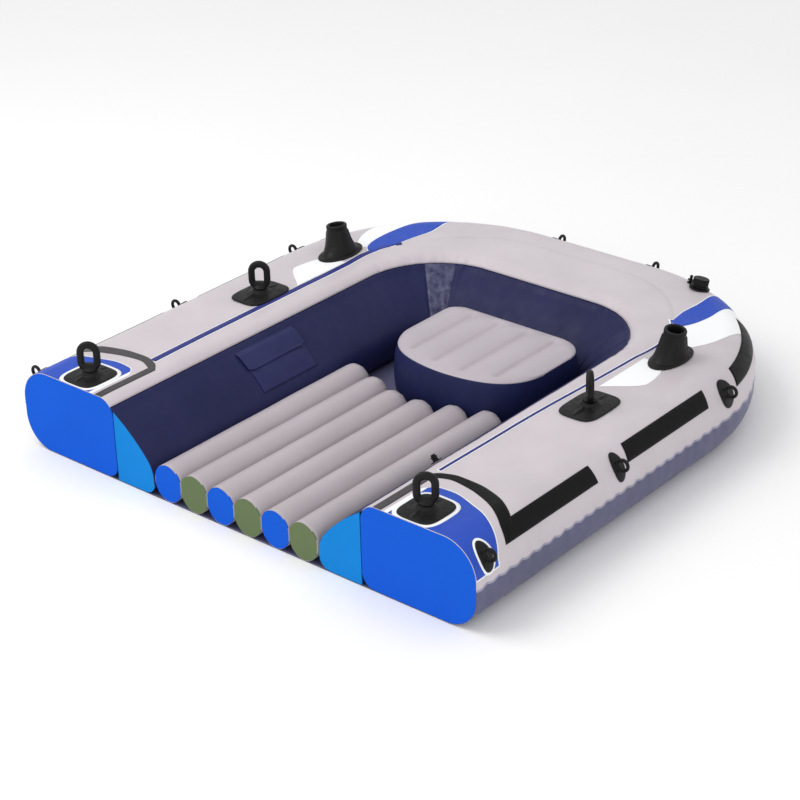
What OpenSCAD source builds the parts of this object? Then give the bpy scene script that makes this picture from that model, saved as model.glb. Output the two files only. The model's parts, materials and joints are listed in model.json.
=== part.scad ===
// Inflatable rowing boat, cut across at mid-length to show its air chambers.
// Origin: on the boat's centre line, in the plane of the cut, at the bottom of the hull.
// +X is starboard, +Y points to the rounded end, +Z is up. Sizes are in millimetres.

/* [Hull] */
// Width of the hull over its outer chambers
beam = 1370; // [1300:10:1440]
// Length from the cut to the rounded end
length = 1435; // [1380:5:1500]
// Width of the outer air chamber
tube_w = 310; // [290:5:320]
// Height of the crown above the ground
hull_h = 208; // [200:1:220]
// Radius of the centre line of the outer chamber at each corner
corner_r = 362; // [340:1:380]
// Thickness of the vinyl skins
skin = 1; // [0.8:0.1:2]

/* [Inner chamber and floor] */
// Radius of the gently bulging cockpit wall
wall_r = 440; // [436:1:444]
// Height of the floor tubes
floor_h = 95; // [90:1:105]
// Width of one floor tube
floor_w = 83; // [80:0.5:83.5]
// Distance from the cut to the end of the outermost floor tubes
floor_l = 684; // [600:1:690]
// How much shorter the middle floor tubes are than the outer ones
floor_step = 26; // [22:1:30]

/* [Seat] */
// Width of the seat cushion
seat_w = 408; // [400:1:410]
// Depth of the seat cushion
seat_d = 334; // [300:1:335]
// Height of the seat's top above the ground
seat_top = 160; // [140:1:170]
// Sideways place of the loose seat in the cockpit
seat_x = 46; // [0:1:46]
// Distance from the cut to the back of the seat
seat_back = 986; // [980:1:986]

/* [Oarlocks] */
// Height of the swivel ring above its base
ring_h = 74; // [65:1:80]
// Width of the swivel ring
ring_w = 56; // [50:1:64]
// Thickness of the swivel ring
ring_t = 15; // [12:1:18]
// Radius of the swivel stem
stem_r = 7; // [6:0.5:8]
// Radial clearance of a turning stem in its hole
run_gap = 0.06; // [0.02:0.01:0.1]

/* [Rod sockets] */
// Radius of the hole in a rod socket
socket_bore_r = 19; // [16:0.5:20]
// Depth of the hole in a rod socket
socket_bore_l = 70; // [50:1:74]
// Height of a rod socket above its flange
socket_h = 80; // [78:1:90]
// Outward lean of a rod socket in degrees
socket_lean = 8; // [0:1:12]

/* [Hidden] */
$fn = 64;

// clearance between skins that only touch
gap = 0.3;
// the bottom sheet's thickness, and how far the outer chamber sits above the ground
sheet_t = 1.4;
hull_z = sheet_t + gap;
// the centre line of the outer chamber: its half spacing, the end's Y and where the corners start
line_x = (beam - tube_w) / 2;
line_y = length - tube_w / 2;
side_l = line_y - corner_r;
end_half = line_x - corner_r;
// corner radii of the outer chamber's section: outboard top and bottom, inboard top and bottom
r_out_top = 86;
r_out_low = 80;
r_in_top = 42;
r_in_low = 34;
// the inner chamber's section, measured from the centre line of the outer chamber: its outboard
// face, its inboard face, the radii above and below the inboard face, and the centres of the
// gentle arc and of the tighter one it runs into
wall_u = -tube_w / 2 - gap;
wall_foot_u = wall_u - 122;
wall_turn_r = 80;
wall_low_r = 30;
wall_at = [79, -189];
wall_turn_at = [wall_foot_u + wall_turn_r, wall_at[1]
    + sqrt(pow(wall_r - wall_turn_r, 2) - pow(wall_foot_u + wall_turn_r - wall_at[0], 2))];
// height of the weld between the side and the bottom sheet, and how far the weld stands out
weld_z = 108;
weld_w = 9;
weld_t = 2.4;
// thickness of the panels that close the cut chambers
panel_t = 3;
// underside of the seat, thickness of its panels and the radii of its plan
seat_z = 1.9;
seat_skin = 1.5;
seat_front_r = 140;
seat_port_r = 45;
seat_back_r = 84;
seat_bow_r = 330;
// a cut that runs a little past the solid it cuts
past = 1;
black = [0.06, 0.06, 0.07];
grey = [0.83, 0.81, 0.82];
navy = [0.12, 0.13, 0.33];
slate = [0.33, 0.34, 0.5];
royal = [0.1, 0.37, 0.86];
sky = [0.11, 0.54, 0.87];
olive = [0.44, 0.51, 0.36];

// A closed outline through eight tangent points with four round corners of their own radii.
module round_box(x0, x1, z0, z1, r_ot, r_ol, r_it, r_il) {
    polygon([[x0 + r_il, z0], [x1 - r_ol, z0], [x1, z0 + r_ol], [x1, z1 - r_ot],
        [x1 - r_ot, z1], [x0 + r_it, z1], [x0, z1 - r_it], [x0, z0 + r_il]]);
    translate([x1 - r_ot, z1 - r_ot]) circle(r_ot);
    translate([x1 - r_ol, z0 + r_ol]) circle(r_ol);
    translate([x0 + r_it, z1 - r_it]) circle(r_it);
    translate([x0 + r_il, z0 + r_il]) circle(r_il);
}

// Section of the outer chamber, moved inward by inset; the outboard side is at positive x.
module outer_section(inset) {
    round_box(-tube_w / 2 + inset, tube_w / 2 - inset, hull_z + inset, hull_h - inset,
        r_out_top - inset, r_out_low - inset, r_in_top - inset, r_in_low - inset);
}

// Section of the inner chamber, moved inward by inset: a leaning, bulging wall on a round foot.
module inner_section(inset) {
    low = hull_z + inset;
    face = wall_foot_u + inset;
    back = wall_u - inset;
    // where the gentle arc meets the tighter one
    join = wall_at[0]
        + (wall_turn_at[0] - wall_at[0]) * (wall_r - inset) / (wall_r - wall_turn_r);
    intersection() {
        translate(wall_at) circle(wall_r - inset, $fn = 128);
        translate([join, wall_turn_at[1]]) square([back - join, wall_r]);
    }
    intersection() {
        translate(wall_turn_at) circle(wall_turn_r - inset);
        translate([face - past, wall_turn_at[1]]) square([join - face + past, wall_turn_r]);
    }
    polygon([[face, wall_turn_at[1]], [face, hull_z + wall_low_r],
        [wall_foot_u + wall_low_r, low], [back, low], [back, wall_turn_at[1]]]);
    translate([wall_foot_u + wall_low_r, hull_z + wall_low_r]) circle(wall_low_r - inset);
}

// Carries a section along one side of the hull. side is 1 for port; start is the Y it begins at.
module hull_side(side, start) {
    mirror([side, 0, 0]) translate([line_x, side_l, 0]) rotate([90, 0, 0])
        linear_extrude(side_l - start) children();
}

// Carries a section round part of one corner, from angle a0 on for the angle turn.
module hull_corner(side, a0, turn) {
    mirror([side, 0, 0]) translate([end_half, side_l, 0]) rotate(a0)
        rotate_extrude(angle = turn, $fn = 96) translate([corner_r, 0]) children();
}

// Carries a section across the rounded end.
module hull_end() {
    translate([-end_half, line_y, 0]) rotate([90, 0, 90]) linear_extrude(2 * end_half) children();
}

// Carries a section along the whole hull: two sides, two corners and the end.
module along_hull(start) {
    for (side = [0, 1]) {
        hull_side(side, start) children();
        hull_corner(side, 0, 90) children();
    }
    hull_end() children();
}

// Closes one side's cut chamber with a flat panel of the section's shape.
module section_panel(side) {
    mirror([side, 0, 0]) translate([line_x, panel_t + gap, 0]) rotate([90, 0, 0])
        linear_extrude(panel_t) children();
}

// The skins of the two air chambers. Each chamber is welded from two sides, three gores in each
// corner and one end.
module outer_skin() {
    difference() {
        outer_section(0);
        outer_section(skin);
    }
}

module inner_skin() {
    difference() {
        inner_section(0);
        inner_section(skin);
    }
}

gores = 3;
gore = 90 / gores;
module outer_corner(side, i) { color(grey) hull_corner(side, (i - 1) * gore, gore) outer_skin(); }
module inner_corner(side, i) { color(navy) hull_corner(side, (i - 1) * gore, gore) inner_skin(); }

module outer_side_port() { color(grey) hull_side(1, 0) outer_skin(); }
module outer_side_starboard() { color(grey) hull_side(0, 0) outer_skin(); }
module outer_corner_port_1() { outer_corner(1, 1); }
module outer_corner_port_2() { outer_corner(1, 2); }
module outer_corner_port_3() { outer_corner(1, 3); }
module outer_corner_starboard_1() { outer_corner(0, 1); }
module outer_corner_starboard_2() { outer_corner(0, 2); }
module outer_corner_starboard_3() { outer_corner(0, 3); }
module outer_end() { color(grey) hull_end() outer_skin(); }
module inner_side_port() { color(navy) hull_side(1, 0) inner_skin(); }
module inner_side_starboard() { color(navy) hull_side(0, 0) inner_skin(); }
module inner_corner_port_1() { inner_corner(1, 1); }
module inner_corner_port_2() { inner_corner(1, 2); }
module inner_corner_port_3() { inner_corner(1, 3); }
module inner_corner_starboard_1() { inner_corner(0, 1); }
module inner_corner_starboard_2() { inner_corner(0, 2); }
module inner_corner_starboard_3() { inner_corner(0, 3); }
module inner_end() { color(navy) hull_end() inner_skin(); }

// The bottom sheet lies under the whole hull and wraps up its side as far as the weld.
module bottom_sheet() {
    flat_x = beam / 2 - r_out_low;
    flat_r = corner_r + tube_w / 2 - r_out_low;
    color(slate) {
        difference() {
            along_hull(0) intersection() {
                outer_section(-hull_z);
                translate([tube_w / 2 - r_out_low - past, 0]) square([r_out_low * 2, weld_z]);
            }
            along_hull(-past) outer_section(-gap);
        }
        linear_extrude(sheet_t) {
            translate([-flat_x, 0]) square([2 * flat_x, side_l]);
            translate([-end_half, 0]) square([2 * end_half, side_l + flat_r]);
            for (side = [-1, 1]) translate([side * end_half, side_l]) circle(flat_r, $fn = 96);
        }
    }
}

module weld_seam() {
    color(slate) along_hull(0)
        translate([tube_w / 2 + gap, weld_z + gap]) square([weld_w, weld_t]);
}

module outer_section_port() { color(royal) section_panel(1) outer_section(skin + gap); }
module outer_section_starboard() { color(royal) section_panel(0) outer_section(skin + gap); }
module inner_section_port() { color(sky) section_panel(1) inner_section(skin + gap); }
module inner_section_starboard() { color(sky) section_panel(0) inner_section(skin + gap); }

// Place and length of floor tube i, counted from port. The middle ones are the shortest.
tube_count = 6;
tube_mid = (tube_count + 1) / 2;
tube_flat = 0.1;
function tube_x(i) = (i - tube_mid) * floor_w;
function tube_l(i) = floor_l - floor_step * (tube_mid - 1 - abs(i - tube_mid)) - floor_w / 2;

module floor_profile(inset) {
    half = floor_w / 2 - gap / 2;
    r = half - inset - tube_flat;
    round_box(-half + inset, half - inset, hull_z + inset, hull_z + floor_h - inset, r, r, r, r);
}

module floor_solid(i, inset, start) {
    translate([tube_x(i), tube_l(i), 0]) {
        rotate([90, 0, 0]) linear_extrude(tube_l(i) - start) floor_profile(inset);
        rotate_extrude(angle = 180) intersection() {
            floor_profile(inset);
            square([floor_w, floor_h * 2]);
        }
    }
}

module floor_tube(i) {
    color(grey) difference() {
        floor_solid(i, 0, 0);
        floor_solid(i, skin, -past);
    }
}

module floor_tube_1() { floor_tube(1); }
module floor_tube_2() { floor_tube(2); }
module floor_tube_3() { floor_tube(3); }
module floor_tube_4() { floor_tube(4); }
module floor_tube_5() { floor_tube(5); }
module floor_tube_6() { floor_tube(6); }

module floor_sections(first) {
    for (i = [first:2:tube_count]) translate([tube_x(i), panel_t + gap, 0]) rotate([90, 0, 0])
        linear_extrude(panel_t) floor_profile(skin + gap);
}

module floor_sections_blue() { color(royal) floor_sections(1); }
module floor_sections_green() { color(olive) floor_sections(2); }

// Plan of the seat: a straight back with round corners and a bowed front.
module seat_plan(inset) {
    x0 = seat_x - seat_w / 2;
    front = seat_back - seat_d;
    intersection() {
        round_box(x0 + inset, x0 + seat_w - inset, front - past + inset, seat_back - inset,
            seat_back_r - inset, seat_front_r - inset, seat_port_r - inset, seat_front_r - inset);
        translate([seat_x, front + seat_bow_r]) circle(seat_bow_r - inset, $fn = 128);
    }
}

// The seat's upright wall, standing between its top and bottom panels.
module seat_side() {
    color(navy) translate([0, 0, seat_z + seat_skin]) difference() {
        linear_extrude(seat_top - seat_z - 2 * seat_skin) seat_plan(0);
        translate([0, 0, -past])
            linear_extrude(seat_top - seat_z + 2 * past) seat_plan(seat_skin);
    }
}

module seat_top_panel() {
    color(grey) translate([0, 0, seat_top - seat_skin]) linear_extrude(seat_skin) seat_plan(0);
}

module seat_bottom_panel() {
    color(navy) translate([0, 0, seat_z]) linear_extrude(seat_skin) seat_plan(0);
}

// A push-in valve: a flanged neck with a blind hole, its mouth up.
neck_h = 10;
neck_r = 7;
neck_hole_r = 4;
neck_floor = 1;
neck_flange_r = 14;
neck_flange_t = 2;
module valve_neck() {
    difference() {
        union() {
            cylinder(h = neck_flange_t, r = neck_flange_r);
            cylinder(h = neck_h, r = neck_r);
        }
        translate([0, 0, neck_floor]) cylinder(h = neck_h, r = neck_hole_r);
    }
}

// The plug of a push-in valve: a stem for the neck and a cap with a finger tab.
plug_foot = 1.5;
plug_cap_r = 8;
plug_cap_t = 3;
plug_tab = [3, 12, 8];
module valve_plug() {
    translate([0, 0, plug_foot]) cylinder(h = neck_h, r = neck_hole_r - run_gap);
    translate([0, 0, neck_h + gap]) {
        cylinder(h = plug_cap_t, r = plug_cap_r);
        translate([-plug_tab[0] / 2, -plug_tab[1] / 2, 0]) cube(plug_tab);
    }
}

// The seat's valve is on its back, the inner chamber's on the starboard cockpit wall.
seat_valve_x = 70;
seat_valve_z = 120;
seat_valve_gap = 0.1;
seat_valve_at = [seat_x + seat_valve_x, seat_back + seat_valve_gap, seat_valve_z];
inner_valve_at = [line_x + wall_at[0], 330, wall_at[1]];

module seat_valve() {
    color(black) translate(seat_valve_at) rotate([-90, 0, 0]) valve_neck();
}

module seat_valve_plug() {
    color(black) translate(seat_valve_at) rotate([-90, 0, 0]) valve_plug();
}

// Storage pouch on the port cockpit wall: flat and empty, curved over the wall.
pouch_l = 190;
pouch_y = 400;
pouch_t = 3;
pouch_from = 124.5;
pouch_to = 139.5;
flap_t = 2;
flap_l = 200;
flap_from = 123.5;
flap_to = 131.5;

// A ring sector about the cockpit wall's own centre, from angle a0 to a1, carried along Y.
module wall_sector(r0, r1, a0, a1, from_y, run) {
    far = r1 * 2;
    mid = (a0 + a1) / 2;
    mirror([1, 0, 0]) translate([line_x + wall_at[0], from_y + run, wall_at[1]]) rotate([90, 0, 0])
        linear_extrude(run) intersection() {
            difference() {
                circle(r1, $fn = 256);
                circle(r0, $fn = 256);
            }
            polygon([[0, 0], far * [cos(a0), sin(a0)], far * [cos(mid), sin(mid)],
                far * [cos(a1), sin(a1)]]);
        }
}

module storage_pouch() {
    color(navy) wall_sector(wall_r + gap, wall_r + gap + pouch_t, pouch_from, pouch_to,
        pouch_y, pouch_l);
}

module pouch_flap() {
    r0 = wall_r + pouch_t + 2 * gap;
    color(navy) wall_sector(r0, r0 + flap_t, flap_from, flap_to,
        pouch_y - (flap_l - pouch_l) / 2, flap_l);
}

// Oarlocks: places of the four pads, port and starboard, near and far.
oarlock_x = 508;
oarlock_y = [59, 640];
// length of the near and the far pads
pad_l = [112, 146];
pad_w = 102;
pad_t = 6;
pad_r = 26;
boss_r = 19;
boss_h = 16;
stem_l = 13;
// lie of each ring about its stem in degrees: port 1 and 2, starboard 1 and 2
ring_turn = [35, 35, 35, -50];
ring_foot = 6;
ring_foot_r = boss_r - 2;
ring_r = ring_w / 2;
ring_low = ring_r * 0.6;
neck_half = boss_r - 4;
hole_r = 14;
hole_l = 22;

module pad_plan(w, l, r) {
    square([w - 2 * r, l], center = true);
    square([w, l - 2 * r], center = true);
    for (x = [-1, 1], y = [-1, 1])
        translate([x * (w / 2 - r), y * (l / 2 - r)]) circle(r);
}

module oarlock_base(i) {
    difference() {
        union() {
            linear_extrude(pad_t) pad_plan(pad_w, pad_l[i], pad_r);
            cylinder(h = boss_h, r = boss_r);
        }
        translate([0, 0, boss_h - stem_l]) cylinder(h = stem_l + past, r = stem_r + run_gap);
    }
}

// An upright ring with a long hole, on a round foot with a stem below.
module oarlock_ring() {
    translate([0, 0, boss_h + gap]) {
        translate([0, 0, gap - stem_l]) cylinder(h = stem_l, r = stem_r);
        cylinder(h = ring_foot, r = ring_foot_r);
        rotate([90, 0, 0]) translate([0, 0, -ring_t / 2]) linear_extrude(ring_t)
            difference() {
                union() {
                    translate([0, ring_h - ring_r]) circle(ring_r);
                    translate([-ring_r, ring_low])
                        square([ring_w, ring_h - ring_r - ring_low]);
                    translate([-neck_half, ring_foot - past]) square([2 * neck_half, ring_r]);
                    translate([0, ring_low]) intersection() {
                        circle(ring_r);
                        translate([-ring_r, ring_foot - past - ring_low])
                            square([ring_w, ring_r]);
                    }
                }
                translate([0, ring_h - ring_r]) circle(hole_r);
                translate([-hole_r, ring_h - ring_r - hole_l]) square([2 * hole_r, hole_l]);
                translate([0, ring_h - ring_r - hole_l]) circle(hole_r);
            }
    }
}

module at_oarlock(side, i) {
    translate([side * oarlock_x, oarlock_y[i], hull_h + gap]) children();
}

module oarlock_base_port_1() { color(black) at_oarlock(-1, 0) oarlock_base(0); }
module oarlock_base_port_2() { color(black) at_oarlock(-1, 1) oarlock_base(1); }
module oarlock_base_starboard_1() { color(black) at_oarlock(1, 0) oarlock_base(0); }
module oarlock_base_starboard_2() { color(black) at_oarlock(1, 1) oarlock_base(1); }
module oarlock_ring_port_1() {
    color(black) at_oarlock(-1, 0) rotate(ring_turn[0]) oarlock_ring();
}
module oarlock_ring_port_2() {
    color(black) at_oarlock(-1, 1) rotate(ring_turn[1]) oarlock_ring();
}
module oarlock_ring_starboard_1() {
    color(black) at_oarlock(1, 0) rotate(ring_turn[2]) oarlock_ring();
}
module oarlock_ring_starboard_2() {
    color(black) at_oarlock(1, 1) rotate(ring_turn[3]) oarlock_ring();
}

// Rod sockets: a long flange and a leaning, tapered cup with a deep round hole.
socket_at = [516, 955];
flange_l = 150;
flange_w = 84;
flange_t = 6;
socket_foot_r = 36;
socket_top_r = 25;
socket_sink = 8;

module rod_socket() {
    translate([socket_at[0], socket_at[1], hull_h + gap]) difference() {
        union() {
            linear_extrude(flange_t) pad_plan(flange_w, flange_l, flange_w / 2 - past);
            intersection() {
                rotate([0, socket_lean, 0]) translate([0, 0, -socket_sink])
                    cylinder(h = socket_h + socket_sink, r1 = socket_foot_r, r2 = socket_top_r);
                translate([-flange_l, -flange_l, 0])
                    cube([2 * flange_l, 2 * flange_l, 2 * socket_h]);
            }
        }
        rotate([0, socket_lean, 0]) translate([0, 0, socket_h - socket_bore_l])
            cylinder(h = socket_bore_l + past, r = socket_bore_r);
    }
}

module rod_socket_starboard() { color(black) rod_socket(); }
module rod_socket_port() { color(black) mirror([1, 0, 0]) rod_socket(); }

// Grab-line eyes: an oval pad against the hull's side with a round eye standing out of it.
eye_pad_l = 74;
eye_pad_w = 40;
eye_pad_t = 4;
eye_r = 17;
eye_hole_r = 9;
eye_t = 8;
eye_y = [45, 515];
// the eyes sit on the round shoulder of the hull, tipped up from level by this angle
eye_tip = 30;

module rope_eye() {
    rotate([0, 90, 0]) {
        linear_extrude(eye_pad_t) {
            square([eye_pad_l - eye_pad_w, eye_pad_w], center = true);
            for (x = [-1, 1]) translate([x * (eye_pad_l - eye_pad_w) / 2, 0])
                circle(eye_pad_w / 2);
        }
        translate([0, eye_t / 2, 0]) rotate([90, 0, 0]) linear_extrude(eye_t) difference() {
            union() {
                translate([0, eye_pad_t + eye_hole_r + past]) circle(eye_r);
                translate([-eye_r, eye_pad_t - past]) square([2 * eye_r, eye_hole_r + 2 * past]);
            }
            translate([0, eye_pad_t + eye_hole_r + past]) circle(eye_hole_r);
            translate([-eye_r * 2, -eye_r * 2]) square([eye_r * 4, eye_r * 2 + past]);
        }
    }
}

// Puts a piece on the shoulder: u is the shoulder's own centre, measured outward.
module on_shoulder(u, tip) {
    translate([u, 0, hull_h - r_out_top]) rotate([0, -tip, 0])
        translate([r_out_top + gap, 0, 0]) children();
}

// Eyes along one side, and one more where its corner begins.
corner_eye_turn = 4;
shoulder_u = tube_w / 2 - r_out_top;
module side_eyes() {
    for (y = eye_y) translate([line_x, y, 0]) on_shoulder(shoulder_u, eye_tip) rope_eye();
    translate([end_half, side_l, 0]) rotate(corner_eye_turn)
        on_shoulder(corner_r + shoulder_u, eye_tip) rope_eye();
}

module rope_eyes_starboard() { color(black) side_eyes(); }
module rope_eyes_port() { color(black) mirror([1, 0, 0]) side_eyes(); }

end_eye_x = 150;
module rope_eyes_end() {
    color(black) for (side = [-1, 1])
        translate([side * end_eye_x, line_y, 0]) rotate(90)
            on_shoulder(shoulder_u, eye_tip) rope_eye();
}

// Main valve on the starboard corner: a flanged base, a screwed cap and the cap's tether ring.
valve_turn = 66;
valve_tip = 76;
valve_flange_r = 26;
valve_flange_h = 4;
valve_neck_r = 13;
valve_neck_h = 16;
valve_hole_r = 8;
valve_floor = 2;
post_at = 42;
post_r = 3.9;
post_h = 20;
arm_t = 2.5;
cap_r = 19;
cap_h = 24;
cap_ribs = 20;
cap_rib_r = 1.3;
cap_skirt_h = 9;
cap_skirt_r = 16;
tether_r = 22;
tether_t = 2;
tether_w = 8;
tether_lift = 3;

// The valve stands square to the shoulder, on the corner, with its anchor post towards the end.
module at_main_valve() {
    translate([end_half, side_l, 0]) rotate(valve_turn)
        on_shoulder(corner_r + shoulder_u, valve_tip) rotate([0, 90, 0]) rotate(90) children();
}

module main_valve_base() {
    color(black) at_main_valve() difference() {
        union() {
            cylinder(h = valve_flange_h, r = valve_flange_r);
            cylinder(h = valve_neck_h, r = valve_neck_r);
            translate([0, -post_r * 2, 0]) cube([post_at, post_r * 4, arm_t]);
            translate([post_at, 0, 0]) cylinder(h = arm_t, r = post_r * 2);
            translate([post_at, 0, 0]) cylinder(h = post_h, r = post_r);
        }
        translate([0, 0, valve_floor]) cylinder(h = valve_neck_h, r = valve_hole_r);
    }
}

// The cap covers the neck; a groove above its skirt carries the tether ring.
module main_valve_cap() {
    color(black) at_main_valve() translate([0, 0, valve_flange_h + gap]) {
        difference() {
            union() {
                cylinder(h = cap_skirt_h, r = cap_skirt_r);
                translate([0, 0, cap_skirt_h]) cylinder(h = cap_h - cap_skirt_h, r = cap_r);
                for (i = [0:cap_ribs - 1]) rotate(i * 360 / cap_ribs)
                    translate([cap_r, 0, cap_skirt_h])
                        cylinder(h = cap_h - cap_skirt_h - past, r = cap_rib_r, $fn = 16);
            }
            translate([0, 0, -past])
                cylinder(h = valve_neck_h - valve_flange_h + past + gap, r = valve_neck_r + run_gap);
        }
    }
}

// The tether: a ring that hangs loose round the cap's skirt, and a strap with an eye.
module main_valve_tether() {
    ring_z = valve_flange_h + gap + tether_lift;
    color(black) at_main_valve() translate([0, 0, ring_z]) difference() {
        union() {
            cylinder(h = tether_t, r = tether_r);
            translate([0, -tether_w / 2, 0]) cube([post_at - tether_w / 2, tether_w, tether_t]);
            translate([post_at, 0, 0]) cylinder(h = tether_t, r = tether_w);
        }
        translate([0, 0, -past]) cylinder(h = tether_t + 2 * past, r = cap_skirt_r + run_gap);
        translate([post_at, 0, -past]) cylinder(h = tether_t + 2 * past, r = post_r + run_gap);
    }
}

// The inner chamber's valve stands square to the round cockpit wall, tipped up from level.
inner_valve_tip = 48;
module at_inner_valve() {
    translate(inner_valve_at) rotate([0, inner_valve_tip - 90, 0])
        translate([0, 0, wall_r + 2 * gap]) children();
}

module inner_valve() { color(black) at_inner_valve() valve_neck(); }
module inner_valve_plug() { color(black) at_inner_valve() valve_plug(); }

outer_side_port();
outer_side_starboard();
outer_corner_port_1();
outer_corner_port_2();
outer_corner_port_3();
outer_corner_starboard_1();
outer_corner_starboard_2();
outer_corner_starboard_3();
outer_end();
inner_side_port();
inner_side_starboard();
inner_corner_port_1();
inner_corner_port_2();
inner_corner_port_3();
inner_corner_starboard_1();
inner_corner_starboard_2();
inner_corner_starboard_3();
inner_end();
bottom_sheet();
weld_seam();
outer_section_port();
outer_section_starboard();
inner_section_port();
inner_section_starboard();
floor_tube_1();
floor_tube_2();
floor_tube_3();
floor_tube_4();
floor_tube_5();
floor_tube_6();
floor_sections_blue();
floor_sections_green();
seat_side();
seat_top_panel();
seat_bottom_panel();
seat_valve();
seat_valve_plug();
storage_pouch();
pouch_flap();
oarlock_base_port_1();
oarlock_base_port_2();
oarlock_base_starboard_1();
oarlock_base_starboard_2();
oarlock_ring_port_1();
oarlock_ring_port_2();
oarlock_ring_starboard_1();
oarlock_ring_starboard_2();
rod_socket_port();
rod_socket_starboard();
rope_eyes_port();
rope_eyes_starboard();
rope_eyes_end();
main_valve_base();
main_valve_tether();
main_valve_cap();
inner_valve();
inner_valve_plug();
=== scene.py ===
"""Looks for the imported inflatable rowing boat.

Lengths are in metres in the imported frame: +X starboard, +Y to the rounded end, +Z up.
A place on the hull is given by s, the run along the outer chamber's centre line from the port cut
round to the starboard cut, and g, the run down the chamber's section from the inner weld.
"""
import bisect
import json
from math import atan2, copysign, cos, degrees, exp, pi, radians, sin, sqrt

import bmesh
import bpy
from mathutils import Matrix, Vector, noise


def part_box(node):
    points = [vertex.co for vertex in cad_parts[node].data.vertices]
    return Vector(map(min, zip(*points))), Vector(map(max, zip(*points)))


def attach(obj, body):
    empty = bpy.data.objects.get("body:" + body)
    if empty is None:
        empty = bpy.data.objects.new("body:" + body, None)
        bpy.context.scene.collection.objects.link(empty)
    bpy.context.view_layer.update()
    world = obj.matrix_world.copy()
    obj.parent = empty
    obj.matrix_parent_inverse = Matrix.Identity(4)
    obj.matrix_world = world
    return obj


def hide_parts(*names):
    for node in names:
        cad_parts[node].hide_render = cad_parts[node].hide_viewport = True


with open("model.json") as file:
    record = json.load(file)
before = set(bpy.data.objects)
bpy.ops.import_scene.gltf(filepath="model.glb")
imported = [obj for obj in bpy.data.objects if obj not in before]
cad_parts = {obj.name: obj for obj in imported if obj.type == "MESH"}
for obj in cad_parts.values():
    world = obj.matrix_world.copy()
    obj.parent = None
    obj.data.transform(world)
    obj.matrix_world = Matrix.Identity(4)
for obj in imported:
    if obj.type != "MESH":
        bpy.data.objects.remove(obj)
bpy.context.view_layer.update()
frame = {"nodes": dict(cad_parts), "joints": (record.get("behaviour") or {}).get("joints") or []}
nodes = frame["nodes"]
scene = bpy.context.scene
SIDES = ("port", "starboard")
X, Y, UP = Vector((1, 0, 0)), Vector((0, 1, 0)), Vector((0, 0, 1))


# ---------------- camera, lights and floor

def put(name, data):
    """Makes an object from its data and puts it in the scene."""
    made = bpy.data.objects.new(name, data)
    scene.collection.objects.link(made)
    return made


def make_camera():
    target = Vector((0.0, 0.569, 0.150))
    azimuth = radians(40.67)
    elevation = radians(26.8)
    distance = 5.181
    roll = radians(1.56)
    back = Vector((sin(azimuth) * cos(elevation), -cos(azimuth) * cos(elevation),
                   sin(elevation)))
    data = bpy.data.cameras.new("camera")
    data.lens = 98.1
    data.sensor_width = 36
    data.shift_x = 0.0035
    data.shift_y = -0.0256
    camera = put("camera", data)
    camera.location = target + back * distance
    camera.rotation_mode = "QUATERNION"
    turn = (-back).to_track_quat("-Z", "Y")
    camera.rotation_quaternion = turn @ Matrix.Rotation(-roll, 4, "Z").to_quaternion()
    scene.camera = camera


def area_light(name, place, aim, size, power, colour):
    data = bpy.data.lights.new(name, "AREA")
    data.size = size
    data.energy = power
    data.color = colour
    light = put(name, data)
    light.location = place
    light.rotation_mode = "QUATERNION"
    light.rotation_quaternion = (Vector(aim) - Vector(place)).to_track_quat("-Z", "Y")


def make_studio():
    world = bpy.data.worlds.new("studio")
    world.use_nodes = True
    background = world.node_tree.nodes["Background"]
    background.inputs["Color"].default_value = (1, 1, 1, 1)
    background.inputs["Strength"].default_value = 0.8
    scene.world = world
    scene.view_settings.view_transform = "Standard"
    area_light("key", (-1.6, -1.2, 3.6), (0, 0.7, 0.1), 2.6, 68, (1.0, 0.985, 0.97))
    area_light("fill", (3.2, -2.4, 2.2), (0.2, 0.6, 0.1), 2.8, 20, (0.96, 0.98, 1.0))
    size = 9.0
    mesh = bpy.data.meshes.new("studio_floor")
    corners = [(x * size, y * size, 0) for x, y in ((-1, -1), (1, -1), (1, 1), (-1, 1))]
    mesh.from_pydata(corners, [], [(0, 1, 2, 3)])
    floor = put("studio_floor", mesh)
    floor.data.materials.append(plain_floor())


# ---------------- materials

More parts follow.
